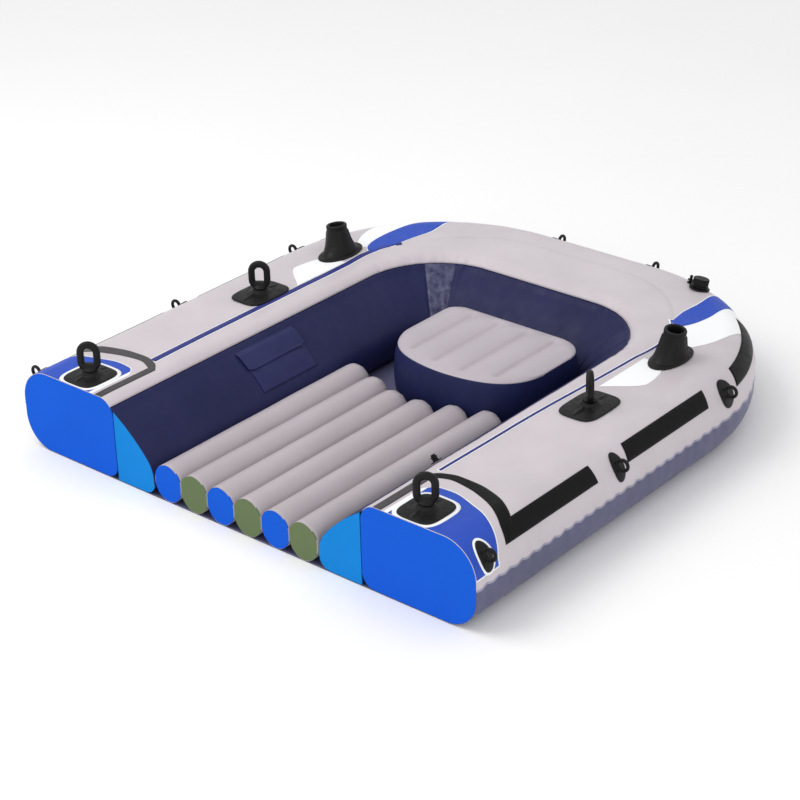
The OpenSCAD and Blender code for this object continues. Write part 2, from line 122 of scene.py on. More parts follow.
class Nodes:
    """Adds and links shader nodes in one material; feed and fix set the shader's own inputs."""

    def __init__(self, name):
        self.material = bpy.data.materials.new(name)
        self.material.use_nodes = True
        self.tree = self.material.node_tree
        self.shader = self.tree.nodes["Principled BSDF"]
        self.place = self.tree.nodes.new("ShaderNodeTexCoord").outputs["Object"]

    def link(self, source, target):
        self.tree.links.new(source, target)

    def feed(self, name, source):
        self.link(source, self.shader.inputs[name])

    def fix(self, name, value):
        self.shader.inputs[name].default_value = value

    def add(self, kind, values):
        node = self.tree.nodes.new("ShaderNode" + kind)
        for name, value in values.items():
            node.inputs[name].default_value = value
        return node

    def noise(self, scale, detail=3.0, stretch=None):
        node = self.add("TexNoise", {"Scale": scale, "Detail": detail})
        source = self.place
        if stretch:
            mapping = self.add("Mapping", {"Scale": stretch})
            self.link(self.place, mapping.inputs["Vector"])
            source = mapping.outputs["Vector"]
        self.link(source, node.inputs["Vector"])
        return node.outputs["Fac"]

    def cells(self, scale):
        node = self.add("TexVoronoi", {"Scale": scale})
        self.link(self.place, node.inputs["Vector"])
        return node.outputs["Distance"]

    def ramp(self, factor, stops):
        node = self.add("ValToRGB", {})
        elements = node.color_ramp.elements
        for index in (0, -1):
            elements[index].position = stops[index][0]
            elements[index].color = (*stops[index][1], 1)
        for position, colour in stops[1:-1]:
            elements.new(position).color = (*colour, 1)
        self.link(factor, node.inputs["Fac"])
        return node.outputs["Color"]

    def span(self, factor, low, high):
        """Spreads the middle of a noise over low to high."""
        node = self.add("MapRange", {"From Min": 0.3, "From Max": 0.7, "To Min": low, "To Max": high})
        self.link(factor, node.inputs["Value"])
        return node.outputs["Result"]

    def bump(self, height, distance, before=None):
        node = self.add("Bump", {"Distance": distance, "Strength": 1.0})
        self.link(height, node.inputs["Height"])
        if before:
            self.link(before, node.inputs["Normal"])
        return node.outputs["Normal"]


def tint(colour, share):
    return tuple(min(1.0, max(0.0, c * share)) for c in colour)


def vinyl(name, colour, roughness=0.42, variation=0.05):
    """Welded PVC film: a faint pebble grain, slow waves, and patches that are duller or glossier."""
    n = Nodes(name)
    cloud = n.noise(7.0, 4.0)
    dull, bright = tint(colour, 1 - variation), tint(colour, 1 + variation)
    n.feed("Base Color", n.ramp(cloud, [(0.3, dull), (0.5, colour), (0.7, bright)]))
    n.feed("Roughness", n.span(n.noise(23.0, 5.0), roughness - 0.07, roughness + 0.1))
    grain = 0.00012
    slow = n.bump(n.noise(16.0, 2.0), 0.0012)
    pebbles = n.bump(n.cells(820.0), grain, slow)
    n.feed("Normal", n.bump(n.noise(2400.0, 2.0), grain * 0.5, pebbles))
    n.fix("Coat Weight", 0.12)
    n.fix("Coat Roughness", 0.32)
    n.fix("Specular IOR Level", 0.35)
    return n.material


def crinkled_vinyl(name, colour, pale_tone_and_highlight, coat=0.03, highlight_streaks=False):
    """Dark film with fine crinkles that run up and down, as on a stretched wall. Its paler colour is a random
    lighter tone; where streaked, it runs in up-and-down streaks of painted highlight.
    """
    n = Nodes(name)
    # when the streaks are on, the paler colour runs in long up-and-down streaks: painted highlights on the
    # crinkles
    cloud = n.noise(75.0, 4.0, (1, 1, 0.1)) if highlight_streaks else n.noise(6.0, 4.0)
    n.feed("Base Color", n.ramp(cloud, [(0.3, colour), (0.7, pale_tone_and_highlight)]))
    n.feed("Roughness", n.span(n.noise(40.0, 4.0, (1, 1, 0.2)), 0.38, 0.56))
    slow = n.bump(n.noise(26.0, 3.0, (1, 1, 0.25)), 0.002)
    fine = n.bump(n.noise(120.0, 3.0, (1, 1, 0.3)), 0.0003, slow)
    n.feed("Normal", n.bump(n.cells(900.0), 0.0001, fine))
    n.fix("Coat Weight", coat)
    n.fix("Coat Roughness", 0.34)
    n.fix("Specular IOR Level", 0.16)
    return n.material


def printed(name, colour, roughness=0.45, speckle=0.06):
    """Ink on the film: an even colour with slight thin spots."""
    n = Nodes(name)
    spots = n.noise(420.0, 5.0)
    thin, full = tint(colour, 1 - speckle), tint(colour, 1 + speckle)
    n.feed("Base Color", n.ramp(spots, [(0.32, thin), (0.6, colour), (0.75, full)]))
    n.feed("Roughness", n.span(n.noise(60.0, 3.0), roughness - 0.05, roughness + 0.08))
    n.feed("Normal", n.bump(n.cells(820.0), 0.0001))
    n.fix("Specular IOR Level", 0.12)
    return n.material


def section_face(name, colour):
    """A matt board: even colour with a very fine tooth, and a faint painted glow in its own colour."""
    n = Nodes(name)
    n.feed("Base Color",
           n.ramp(n.noise(9.0, 3.0), [(0.3, tint(colour, 0.97)), (0.7, tint(colour, 1.03))]))
    n.feed("Roughness", n.span(n.noise(150.0, 3.0), 0.55, 0.7))
    n.feed("Normal", n.bump(n.noise(1500.0, 3.0), 0.00008))
    # the face glows faintly in its own colour: painted light
    n.fix("Emission Color", (*colour, 1))
    n.fix("Emission Strength", 0.03)
    n.fix("Specular IOR Level", 0.03)
    return n.material


def moulded_rubber(name, colour):
    """Black moulded rubber with dust in the pores and rubbed, greyer patches."""
    n = Nodes(name)
    worn = n.noise(45.0, 6.0)
    n.feed("Base Color",
           n.ramp(worn, [(0.35, colour), (0.62, tint(colour, 1.5)), (0.8, tint(colour, 2.8))]))
    n.feed("Roughness", n.span(n.noise(90.0, 5.0), 0.36, 0.6))
    pores = n.bump(n.noise(900.0, 4.0), 0.00025)
    n.feed("Normal", n.bump(n.noise(70.0, 3.0), 0.0006, pores))
    n.fix("Specular IOR Level", 0.2)
    return n.material


def plain_floor():
    n = Nodes("studio_paper")
    n.feed("Base Color",
           n.ramp(n.noise(1.3, 2.0), [(0.3, (0.975, 0.975, 0.98)), (0.7, (0.99, 0.99, 0.995))]))
    n.fix("Roughness", 0.85)
    n.fix("Specular IOR Level", 0.1)
    return n.material


GREY = vinyl("hull_grey", (0.585, 0.535, 0.57))
WHITE = printed("print_white", (0.95, 0.96, 0.98), 0.45, 0.02)
SLATE = vinyl("bottom_slate", (0.095, 0.096, 0.185), 0.4, 0.1)
NAVY = crinkled_vinyl("cockpit_navy", (0.0115, 0.0135, 0.063), (0.018, 0.02, 0.082))
# the corner's navy: pale up-and-down streaks painted into its colour as highlights on its wrinkles
NAVY_HIGHLIGHT_STREAKS = crinkled_vinyl("corner_navy_painted_highlights", (0.017, 0.019, 0.078), (0.105, 0.108, 0.185), 0.25, True)
FLOOR_GREY = vinyl("floor_grey", (0.45, 0.405, 0.435), 0.4, 0.05)
SEAT_GREY = vinyl("seat_grey", (0.475, 0.425, 0.47), 0.4, 0.04)
SEAT_NAVY = crinkled_vinyl("seat_navy", (0.0115, 0.015, 0.068), (0.02, 0.024, 0.095), 0.1)
ROYAL_PRINT = printed("print_royal", (0.03, 0.085, 0.5))
LINE_PRINT = printed("print_line", (0.035, 0.042, 0.21))
BLACK_PRINT = printed("print_black", (0.0055, 0.0045, 0.0055), 0.45, 0.3)
CHARCOAL_PRINT = printed("print_charcoal", (0.075, 0.07, 0.075), 0.42, 0.2)
# the section faces glow faintly in their own colours: painted light
ROYAL = section_face("section_royal", (0.0095, 0.104, 0.62))
SKY = section_face("section_sky", (0.0095, 0.222, 0.63))
OLIVE = section_face("section_olive", (0.135, 0.182, 0.088))
RUBBER = moulded_rubber("black_rubber", (0.0065, 0.006, 0.0065))
WELD = vinyl("weld_pale", (0.34, 0.34, 0.46), 0.4, 0.12)
POUCH = crinkled_vinyl("pouch_navy", (0.017, 0.019, 0.085), (0.025, 0.028, 0.105))


# ---------------- the hull's lines

TUBE_W = 0.310
CORNER_R = 0.362
HULL_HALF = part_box("outer_side_starboard")[1].x
CROWN_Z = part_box("outer_side_starboard")[1].z
HULL_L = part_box("outer_end")[1].y
LINE_X = HULL_HALF - TUBE_W / 2
LINE_Y = HULL_L - TUBE_W / 2
SIDE = LINE_Y - CORNER_R
END_HALF = LINE_X - CORNER_R
CORNER_L = CORNER_R * pi / 2
TOTAL = 2 * (SIDE + CORNER_L + END_HALF)
# the skins start just inside the cut, and have a column of points at every step of their run
CUT_GAP = 0.0004
RUN_STEP = 0.006
FILM_T = 0.0009
BOTTOM_T = 0.0007


def hull_path(s):
    """The centre line's point at s and the outboard direction there."""
    if s > TOTAL / 2:
        point, out = hull_path(TOTAL - s)
        return Vector((-point.x, point.y, 0)), Vector((-out.x, out.y, 0))
    if s < SIDE:
        return Vector((-LINE_X, s, 0)), Vector((-1, 0, 0))
    if s < SIDE + CORNER_L:
        turn = (s - SIDE) / CORNER_R
        out = Vector((-cos(turn), sin(turn), 0))
        return Vector((-END_HALF, SIDE, 0)) + out * CORNER_R, out
    return Vector((s - SIDE - CORNER_L - END_HALF, LINE_Y, 0)), Vector((0, 1, 0))


def smooth(x, low, high):
    t = min(1.0, max(0.0, (x - low) / (high - low)))
    return t * t * (3 - 2 * t)


# the run from the cut over which the skins' waves fade in
CUT_CALM = 0.03


def near_cut(s):
    """0 at the cut, where the section faces hold every skin to its true line, and 1 away from it."""
    return smooth(min(s, TOTAL - s), 0.0, CUT_CALM)


def corner_share(s):
    """0 on the straights and 1 in the middle of each corner."""
    t = min(s, TOTAL - s)
    after = SIDE + CORNER_L
    return smooth(t, SIDE - 0.08, SIDE + 0.12) * (1 - smooth(t, after - 0.12, after + 0.08))


def end_share(s):
    t = min(s, TOTAL - s)
    return smooth(t, SIDE + 0.05, SIDE + 0.3)


def hump(x, centre, width):
    return exp(-((x - centre) / width) ** 2)


def curve(points):
    """A smooth function through a few points, with no overshoot."""
    xs = [p[0] for p in points]
    ys = [p[1] for p in points]
    rises = [(ys[i + 1] - ys[i]) / (xs[i + 1] - xs[i]) for i in range(len(xs) - 1)]
    slopes = [rises[0]]
    for a, b in zip(rises, rises[1:]):
        slopes.append(0.0 if a * b <= 0 else 2 * a * b / (a + b))
    slopes.append(rises[-1])

    def value(x):
        x = min(xs[-1], max(xs[0], x))
        i = max(j for j in range(len(xs) - 1) if xs[j] <= x)
        run = xs[i + 1] - xs[i]
        t = (x - xs[i]) / run
        return (ys[i] * (1 + 2 * t) * (1 - t) ** 2 + slopes[i] * run * t * (1 - t) ** 2
                + ys[i + 1] * t * t * (3 - 2 * t) + slopes[i + 1] * run * t * t * (t - 1))

    return value


def arc(u, z, r, start, end, steps):
    turns = [radians(start + (end - start) * i / steps) for i in range(steps + 1)]
    return [(u + r * cos(a), z + r * sin(a)) for a in turns]


class Section:
    """A line in the section plane, measured along its length. Its normal points to its left."""

    def __init__(self, points):
        self.points = [Vector(p) for p in points]
        self.runs = [0.0]
        for a, b in zip(self.points, self.points[1:]):
            self.runs.append(self.runs[-1] + (b - a).length)
        self.length = self.runs[-1]

    def at(self, g):
        """The point and the normal at g."""
        g = min(self.length - 1e-9, max(0.0, g))
        i = bisect.bisect_right(self.runs, g) - 1
        share = (g - self.runs[i]) / (self.runs[i + 1] - self.runs[i])
        normal = self.left(i).lerp(self.left(i + 1), share).normalized()
        return self.points[i].lerp(self.points[i + 1], share), normal

    def left(self, i):
        along = (self.points[min(len(self.points) - 1, i + 1)] - self.points[max(0, i - 1)]).normalized()
        return Vector((-along.y, along.x))

    def where_z(self, z):
        """The last g at which the section is at height z or above."""
        steps = 4000
        runs = [i / steps * self.length for i in range(steps + 1)]
        return max(g for g in runs if self.at(g)[0].y >= z)


IN_TOP_R = 0.042
SHOULDER_R = 0.086
LOW_R = 0.080
U_IN = -TUBE_W / 2 + IN_TOP_R
U_SHOULDER = TUBE_W / 2 - SHOULDER_R
U_LOW = TUBE_W / 2 - LOW_R
KEEL_Z = 0.0009
WELD_ANGLE = 145


def hull_section():
    crown_steps = 26
    points = arc(U_IN, CROWN_Z - IN_TOP_R, IN_TOP_R, WELD_ANGLE, 90, 10)
    points += [(U_IN + (U_SHOULDER - U_IN) * i / crown_steps, CROWN_Z) for i in range(1, crown_steps)]
    points += arc(U_SHOULDER, CROWN_Z - SHOULDER_R, SHOULDER_R, 90, 0, 22)
    points += arc(U_LOW, KEEL_Z + LOW_R, LOW_R, 0, -90, 20)
    return Section(points)


HULL = hull_section()
G_CROWN = IN_TOP_R * radians(WELD_ANGLE - 90)
G_SHOULDER = G_CROWN + U_SHOULDER - U_IN
BOTTOM_WELD_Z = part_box("weld_seam")[0].z
G_WELD = HULL.where_z(BOTTOM_WELD_Z)
SCALLOP = 0.0385


def scallop(s):
    """The wavy lower edge of the printed side."""
    wave = abs(sin(pi * s / SCALLOP + 0.8 * noise.noise(Vector((s * 4, 1, 2)))))
    return 0.0052 * wave ** 0.8 + 0.002 * noise.noise(Vector((s * 21, 5, 1)))


def hull_wave(s, g):
    """How far the skin stands out of its true section: soft waves, puckers at welds, a sewn-in line."""
    corner = corner_share(s)
    soft = 0.0011 * noise.noise(Vector((s * 6, g * 9, 3)))
    inner = hump(g, 0.0, 0.035)
    pucker = inner * (0.0007 + 0.0028 * corner) * noise.noise(Vector((s * 34, g * 10, 7)))
    low = hump(g, G_WELD, 0.03)
    pull = -0.0016 * low * (0.5 + 0.5 * cos(2 * pi * s / SCALLOP))
    line_g = 0.1 + 0.075 * smooth(min(s, TOTAL - s), SIDE + 0.15, SIDE + 0.62)
    end = end_share(s)
    line = end * (0.0016 * (1 - smooth(g, line_g - 0.008, line_g)) - 0.0016 * hump(g, line_g, 0.0035))
    broad = corner * 0.0016 * noise.noise(Vector((s * 15, g * 16, 9))) * smooth(g, 0.02, 0.1)
    return (soft + pucker + pull + line + broad) * near_cut(s)


def on_hull(s, g, lift=0.0):
    point, out = hull_path(s)
    place, normal = HULL.at(g)
    high = lift + hull_wave(s, g)
    return point + out * (place.x + normal.x * high) + UP * (place.y + normal.y * high)


# ---------------- mesh helpers

def add_object(name, mesh, material, body):
    piece = put(name, mesh)
    if material and not mesh.materials:
        mesh.materials.append(material)
    for face in mesh.polygons:
        face.use_smooth = True
    if body:
        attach(piece, body)
    return piece


def grid_mesh(name, columns):
    """A sheet of quads through equal columns of points."""
    rows = len(columns[0])
    points = [p for column in columns for p in column]
    faces = []
    for i in range(len(columns) - 1):
        for j in range(rows - 1):
            a, b = i * rows + j, (i + 1) * rows + j
            faces.append((a, b, b + 1, a + 1))
    mesh = bpy.data.meshes.new(name)
    mesh.from_pydata(points, [], faces)
    return mesh


def mend(mesh, merge=1e-6, cap_past=None):
    """Merges a sheet's seam, caps its open ends past y = cap_past, and makes its faces agree."""
    work = bmesh.new()
    work.from_mesh(mesh)
    bmesh.ops.remove_doubles(work, verts=work.verts, dist=merge)
    if cap_past is not None:
        rims = [e for e in work.edges if e.is_boundary and e.verts[0].co.y > cap_past]
        bmesh.ops.holes_fill(work, edges=rims, sides=0)
    bmesh.ops.recalc_face_normals(work, faces=work.faces)
    work.to_mesh(mesh)
    work.free()
    return mesh


def turn_faces(piece, aim):
    """Flips the faces if most of their area looks away from aim(centre)."""
    mesh = piece.data
    if sum(face.normal.dot(aim(face.center)) * face.area for face in mesh.polygons) < 0:
        mesh.flip_normals()


def to_cockpit(centre):
    return Vector((-centre.x, 0.3 - centre.y, 0.2))


def thicken(piece, thickness):
    solid = piece.modifiers.new("thickness", "SOLIDIFY")
    solid.thickness = thickness
    solid.offset = -1.0
    solid.use_quality_normals = True


def steps_between(low, high, step):
    count = max(2, round((high - low) / step))
    return [low + (high - low) * i / count for i in range(count + 1)]


def round_angles(count):
    return [2 * pi * k / count for k in range(count)]


def flat(value):
    """The same value everywhere: a straight edge for a print."""
    return lambda _: value


def bend(share, power):
    """share to a power, with its sign kept."""
    return copysign(abs(share) ** power, share)


PRINT_T = 0.00025
PRINT_START = 0.001
# the runs between a print's points, along and down
PRINT_STEP = 0.006
PRINT_G_STEP = 0.005
# how high over the hull each kind of print lies, in units of PRINT_LIFT
PRINT_LIFT = 0.0005
RIM, PLAIN, BAND, FIELD, STRIPE, BORDER = 0.8, 1, 1.2, 1.6, 2.2, 2.4


def run_of(side, t):
    """s at t, the run from that side's own cut."""
    return t if side == "port" else TOTAL - t


class Prints:
    """Printed areas on one side of the hull, placed by t and g."""

    def __init__(self, side):
        self.side = side

    def lay(self, name, columns, lift, material):
        if self.side == "starboard":
            columns = columns[::-1]
        points = [[on_hull(run_of(self.side, t), g, lift) for t, g in column] for column in columns]
        full = f"print_{name}_{self.side}"
        piece = add_object(full, grid_mesh(full, points), material, "hull")
        thicken(piece, PRINT_T)

    def along(self, name, t0, t1, low, high, material, layer, slant=0.0):
        """An area between g = low(t) and g = high(t); slant tilts its two ends."""
        runs = steps_between(t0, t1, PRINT_STEP)
        most = max(max(2, round((high(t) - low(t)) / PRINT_STEP)) for t in runs)
        grid = []
        for t in runs:
            a, b = low(t), high(t)
            grid.append([(t + slant * (j / most - 0.5), a + (b - a) * j / most) for j in range(most + 1)])
        self.lay(name, grid, PRINT_LIFT * layer, material)

    def across(self, name, g0, g1, near, far, material, layer):
        """An area between t = near(g) and t = far(g)."""
        rows = steps_between(g0, g1, PRINT_G_STEP)
        most = max(2, round(max(far(g) - near(g) for g in rows) / PRINT_STEP))
        grid = []
        for i in range(most + 1):
            grid.append([(near(g) + (far(g) - near(g)) * i / most, g) for g in rows])
        self.lay(name, grid, PRINT_LIFT * layer, material)


def build_hull():
    runs = steps_between(CUT_GAP, TOTAL - CUT_GAP, RUN_STEP)
    rows = 66
    columns = []
    for s in runs:
        edge = G_WELD + scallop(s)
        columns.append([on_hull(s, edge * j / rows) for j in range(rows + 1)])
    hull = add_object("outer_chamber_skin", grid_mesh("outer_chamber_skin", columns), GREY, "hull")
    thicken(hull, FILM_T)
    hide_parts(*[n for n in nodes if n.startswith(("outer_side", "outer_corner", "outer_end"))])

    keel_steps = 5
    sunk, overlap, step = -0.0012, 0.014, 0.007
    columns = []
    for s in runs:
        column = [on_hull(s, g, sunk) for g in steps_between(G_WELD - overlap, HULL.length, step)]
        point, out = hull_path(s)
        rim = point + out * U_LOW
        middle = Vector((0, min(rim.y, SIDE), 0))
        for i in range(1, keel_steps + 1):
            place = rim.lerp(middle, i / keel_steps)
            column.append(Vector((place.x, place.y, KEEL_Z)))
        for place in column:
            place.z = max(place.z, 0.0002)
        columns.append(column)
    mesh = mend(grid_mesh("bottom_skin", columns), 1e-5)
    bottom = add_object("bottom_skin", mesh, SLATE, "hull")
    inside = Vector((0, 0.6, 0.1))
    turn_faces(bottom, lambda c: c - inside)
    thicken(bottom, BOTTOM_T)
    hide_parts("bottom_sheet")

    bead_half_w, bead_half_t, bead_sides = 0.0022, 0.0009, 8
    bead = []
    for s in runs:
        edge = G_WELD + scallop(s)
        ring = []
        for a in round_angles(bead_sides):
            ring.append(on_hull(s, edge + bead_half_w * cos(a), 0.0002 + bead_half_t * sin(a)))
        bead.append(ring + [ring[0]])
    seam = add_object("weld_bead", mend(grid_mesh("weld_bead", bead), cap_past=-1), WELD, "hull")
    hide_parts("weld_seam")


# ---------------- prints

def build_prints():
    """Lays the prints. Curves named _t, _w, _in or _out go by g, and those named _g go by t."""
    leg_low, leg_high = 0.034, 0.056
    arc_t = curve([(0.03, 0.158), (0.06, 0.187), (0.1, 0.2), (0.15, 0.196), (0.2, 0.182), (0.25, 0.158),
                   (0.318, 0.118)])
    arc_w = curve([(0.03, 0.013), (0.09, 0.0115), (0.18, 0.016), (0.27, 0.019), (0.318, 0.008)])
    crescent_t = curve([(0.06, 0.112), (0.09, 0.146), (0.13, 0.15), (0.2, 0.131), (0.27, 0.103),
                        (0.33, 0.076)])
    stripe_low, stripe_high = 0.273, 0.317
    line_g = curve([(0.2, 0.074), (0.6, 0.078), (0.9, 0.078), (1.03, 0.096), (1.12, 0.112)])
    patch_in = curve([(0.108, 1.185), (0.15, 1.235), (0.2, 1.265), (0.26, 1.3), (0.36, 1.335)])
    patch_out = curve([(0.108, 1.135), (0.15, 1.155), (0.2, 1.192), (0.27, 1.245), (0.36, 1.28)])
    band_out = curve([(0.108, 1.0), (0.15, 1.02), (0.2, 1.06), (0.27, 1.135), (0.36, 1.19)])
    port_out = curve([(0.085, 1.022), (0.123, 1.036), (0.204, 1.148), (0.258, 1.22), (0.36, 1.29)])
    port_in = curve([(0.085, 1.03), (0.12, 1.144), (0.174, 1.228), (0.237, 1.264), (0.36, 1.32)])
    wedge_g = curve([(0.735, 0.092), (0.817, 0.172), (0.873, 0.165), (0.92, 0.135)])
    # the white rims: round the royal areas, and on each side of the thin line
    rim, line_rim = 0.004, 0.0028
    for side in SIDES:
        p = Prints(side)
        near, far = (port_out, port_in) if side == "port" else (patch_out, patch_in)
        top = 0.088 if side == "port" else 0.104
        dark = CHARCOAL_PRINT if side == "port" else BLACK_PRINT
        p.along("leg", PRINT_START, 0.17, flat(leg_low), flat(leg_high), CHARCOAL_PRINT, PLAIN)
        p.across("arc", leg_low, stripe_high, lambda g: arc_t(g) - arc_w(g), lambda g: arc_t(g) + arc_w(g),
                 dark, FIELD)
        cut = flat(PRINT_START)
        p.across("field_edge", 0.064, 0.352, cut, lambda g: crescent_t(g) + rim, WHITE, RIM)
        p.across("field", 0.075, 0.348, cut, crescent_t, ROYAL_PRINT, FIELD)
        p.across("stripe_1", stripe_low, stripe_high, arc_t, flat(0.437), BLACK_PRINT, STRIPE)
        for number, t0, t1 in ((2, 0.555, 0.878), (3, 0.985, 1.2)):
            p.along(f"stripe_{number}", t0, t1, flat(stripe_low), flat(stripe_high), BLACK_PRINT, STRIPE,
                    slant=-0.012)
        offset = 0.0 if side == "port" else -0.026
        half_w = 0.0088 if side == "port" else 0.0038

        def line(t):
            """The starboard line lies nearer the inner weld towards the cut."""
            return line_g(t) + offset * (1 - 0.75 * smooth(t, 0.45, 0.95))

        p.along("line_edge", 0.203, 1.12, lambda t: line(t) - half_w - line_rim,
                lambda t: line(t) + half_w + line_rim, WHITE, RIM)
        p.along("line", 0.206, 1.14, lambda t: line(t) - half_w, lambda t: line(t) + half_w,
                LINE_PRINT, FIELD)
        p.across("patch_edge", top - rim, 0.36, lambda g: near(g) - rim, lambda g: far(g) + rim, WHITE, RIM)
        p.across("patch", top, 0.358, near, far, ROYAL_PRINT, FIELD)
        p.across("band", 0.132, 0.352, lambda g: min(band_out(g), near(g) - 0.03), lambda g: near(g) - 0.001,
                 WHITE, BAND)
        p.along("wedge", 0.735, 0.92, flat(0.09), wedge_g, WHITE, BAND)


# ---------------- cockpit wall

# the wall's two arcs, above and below, and its foot: their radii and centres
WALL_R = 0.4388
WALL_AT = Vector((0.079, -0.189))
TURN_R = 0.0788
TURN_AT = Vector((-0.1973, 0.0418))
FOOT_R = 0.030
WALL_TOP = 123
WALL_JOIN = 140.1


def wall_section():
    points = [(-0.1455, 0.1893), (-0.1490, 0.1880), (-0.1520, 0.1862), (-0.1553, 0.1838)]
    points += arc(WALL_AT.x, WALL_AT.y, WALL_R, WALL_TOP, WALL_JOIN, 20)
    points += arc(TURN_AT.x, TURN_AT.y, TURN_R, WALL_JOIN + 3, 180, 12)
    points += arc(TURN_AT.x - TURN_R + FOOT_R, 0.0022 + FOOT_R, FOOT_R, 180, 262, 10)
    return Section(points)


WALL = wall_section()
# creases in the corners: their place along the run and their depth
CREASES = (
    (SIDE + 0.275, 0.0042),
    (SIDE + 0.415, 0.0036),
    (TOTAL - SIDE - 0.2, 0.003),
    (TOTAL - SIDE - 0.33, 0.0026),
)


def wall_wave(s, g):
    corner = corner_share(s)
    near_weld = hump(g, 0.0, 0.05)
    soft = 0.0012 * noise.noise(Vector((s * 7, g * 7, 13)))
    puckers = (0.0005 + 0.0017 * corner) * noise.noise(Vector((s * 30, g * 5, 17))) * (0.3 + 0.7 * near_weld)
    folds = 0.0
    for place, depth in CREASES:
        folds -= depth * hump(s, place + 0.004 * sin(g * 40), 0.0055)
    nicks = -0.0008 * near_weld * abs(sin(pi * s / 0.061))
    free = smooth(g, 0.0, 0.025)
    return hull_wave(s, 0.0) * (1 - free) + (soft + puckers + folds + nicks) * free * near_cut(s)


def on_wall(s, g, lift=0.0):
    point, out = hull_path(s)
    place, normal = WALL.at(g)
    high = wall_wave(s, g) + lift
    return point + out * (place.x - normal.x * high) + UP * (place.y - normal.y * high)


def build_wall():
    runs = steps_between(CUT_GAP, TOTAL - CUT_GAP, RUN_STEP)
    columns = [[on_wall(s, g) for g in steps_between(0, WALL.length, RUN_STEP)] for s in runs]
    wall = add_object("inner_chamber_skin", grid_mesh("inner_chamber_skin", columns), NAVY, "hull")
    turn_faces(wall, to_cockpit)
    # the faces between the first two creases take the navy with painted highlight streaks
    wall.data.materials.append(NAVY_HIGHLIGHT_STREAKS)
    rows = len(columns[0]) - 1
    for index, face in enumerate(wall.data.polygons):
        s = (runs[index // rows] + runs[index // rows + 1]) / 2
        if CREASES[0][0] < s < CREASES[1][0]:
            face.material_index = 1
    thicken(wall, FILM_T)
    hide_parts(*[n for n in nodes if n.startswith(("inner_side", "inner_corner", "inner_end"))])


# ---------------- floor

def build_floor():
    around = 36
    # the tubes are this much slimmer than their nodes, so neighbours never share a face
    slim = 0.9994
    for index in range(1, 7):
        low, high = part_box(f"floor_tube_{index}")
        half = (high.x - low.x) / 2
        tall = (high.z - low.z) / 2
        centre = Vector(((high.x + low.x) / 2, 0, (high.z + low.z) / 2))
        length = high.y
        stops = steps_between(CUT_GAP, length - half, 0.012)
        stops += [length - half + half * sin(radians(a)) for a in range(6, 90, 6)]
        stops.append(length - 0.0002)
        columns = []
        for y in stops:
            past = max(0.0, y - (length - half))
            share = sqrt(max(0.0, 1 - (past / half) ** 2))
            near_end = hump(y, length - half * 0.5, half * 0.8)
            ring = []
            for a in round_angles(around):
                pucker = 1 + 0.016 * near_end * sin(11 * a + index)
                soft = 0.0008 * noise.noise(Vector((index * 3.1 + cos(a), y * 7, sin(a))))
                soft *= smooth(y, 0.0, CUT_CALM)
                ring.append(Vector((centre.x + (half * slim * share * pucker + soft) * cos(a), y,
                                    centre.z + (tall * share * pucker + soft) * sin(a))))
            columns.append(ring + [ring[0].copy()])
        mesh = mend(grid_mesh(f"floor_tube_skin_{index}", columns), cap_past=length / 2)
        for vertex in mesh.vertices:
            vertex.co.z = max(vertex.co.z, low.z)
        tube = add_object(mesh.name, mesh, FLOOR_GREY, "hull")
        inside = centre + Vector((0, length / 2, 0))
        turn_faces(tube, lambda c: c - inside)
        thicken(tube, FILM_T)
        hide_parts(f"floor_tube_{index}")


# ---------------- seat

SEAT_FRONT_R = 0.140
SEAT_PORT_R = 0.045
SEAT_BACK_R = 0.084
SEAT_BOW_R = 0.330
SEAT_CHANNELS = (-0.6, -0.2, 0.2, 0.6)
# how far the seat's top leans towards the starboard wall
SEAT_LEAN = 0.022
# the simulation's pressure, its last frame, and the most that it may move a point
SEAT_PRESSURE = 2.5
SEAT_FRAMES = 20
SEAT_SWELL = 0.004


def seat_edges(x, half_w, deep):
    """Front and back of the seat's plan at x from its middle, with y measured from its front."""
    gap_front = max(0.0, abs(x) - (half_w - SEAT_FRONT_R))
    back_r = SEAT_PORT_R if x < 0 else SEAT_BACK_R
    gap_back = max(0.0, abs(x) - (half_w - back_r))
    bow = SEAT_BOW_R - sqrt(SEAT_BOW_R ** 2 - x * x)
    corner = SEAT_FRONT_R - sqrt(max(0.0, SEAT_FRONT_R ** 2 - gap_front ** 2))
    rear = deep - back_r + sqrt(max(0.0, back_r ** 2 - gap_back ** 2))
    return (bow ** 4 + corner ** 4) ** 0.25, rear


def seat_crown(x, y, front, rear, half_w):
    """Height of the top panel over its rim: strips puffed up between the welded channels."""
    edge = min(half_w * 1.02 - abs(x), y - front, rear - y)
    rise = 0.013 * sqrt(smooth(edge, -0.004, 0.05))
    ends = smooth(min(y - front, rear - y), 0.014, 0.045)
    strip = half_w * 0.4
    valley = 0.0
    for share in SEAT_CHANNELS:
        off = abs(x - share * half_w)
        valley = max(valley, hump(off, 0.0, 0.0065), 0.5 * hump(off, 0.0, strip * 0.33))
    return rise - 0.0145 * valley * ends


